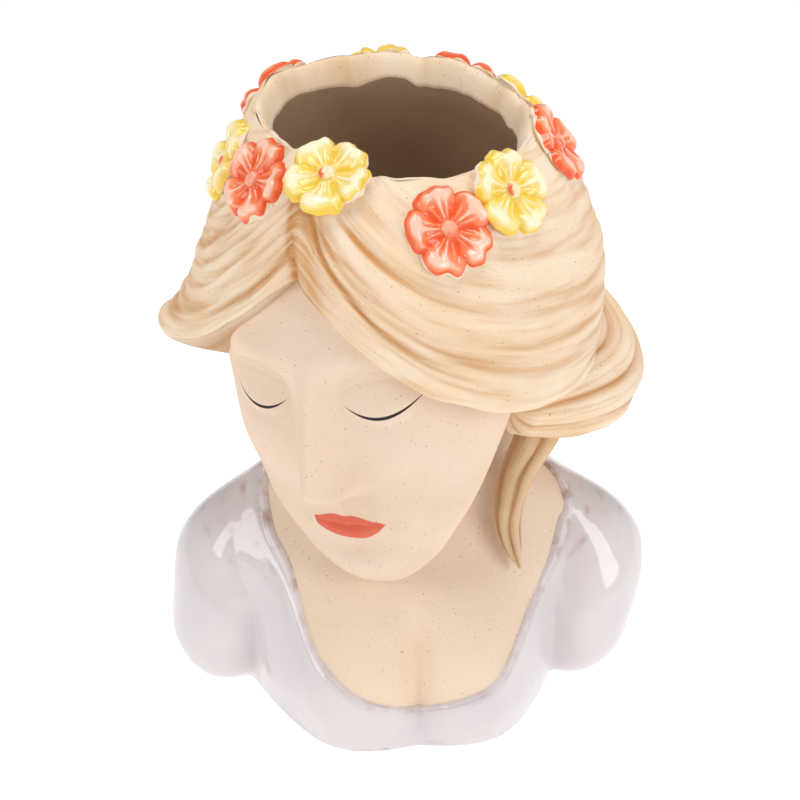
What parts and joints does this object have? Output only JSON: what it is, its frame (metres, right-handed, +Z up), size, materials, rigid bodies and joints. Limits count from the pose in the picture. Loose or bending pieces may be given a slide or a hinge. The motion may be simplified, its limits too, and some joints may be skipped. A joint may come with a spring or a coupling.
{
  "type": "head planter",
  "caption": "Ceramic planter shaped as a bust with bowed head, swept hair and a wreath of glazed flowers round the open rim of the pot.",
  "frame": {"origin": "centre of the drain hole on the underside of the base", "axes": "+Z up out of the pot's mouth, -Y to the front of the bust, +X to the bust's own left"},
  "size_m": [0.1615, 0.1536, 0.2104],
  "materials": {
    "white_glaze": "glossy white glaze",
    "skin_bisque": "matte speckled bisque",
    "hair_bisque": "matte bisque with an ochre wash",
    "hair_wash": "matte bisque with a brown wash",
    "yellow_glaze": "glossy yellow glaze",
    "coral_glaze": "glossy coral glaze"
  },
  "bodies": {
    "root": {"blouse": "white_glaze", "chest": "skin_bisque", "head": "skin_bisque", "hair_left": "hair_bisque", "hair_right": "hair_bisque", "chignon": "hair_bisque", "side_lock": "hair_wash", "flower_01": "yellow_glaze", "flower_02": "coral_glaze", "flower_03": "yellow_glaze", "flower_04": "coral_glaze", "flower_05": "yellow_glaze", "flower_06": "coral_glaze", "flower_07": "yellow_glaze", "flower_08": "coral_glaze", "flower_09": "yellow_glaze", "flower_10": "coral_glaze"}
  },
  "joints": []
}
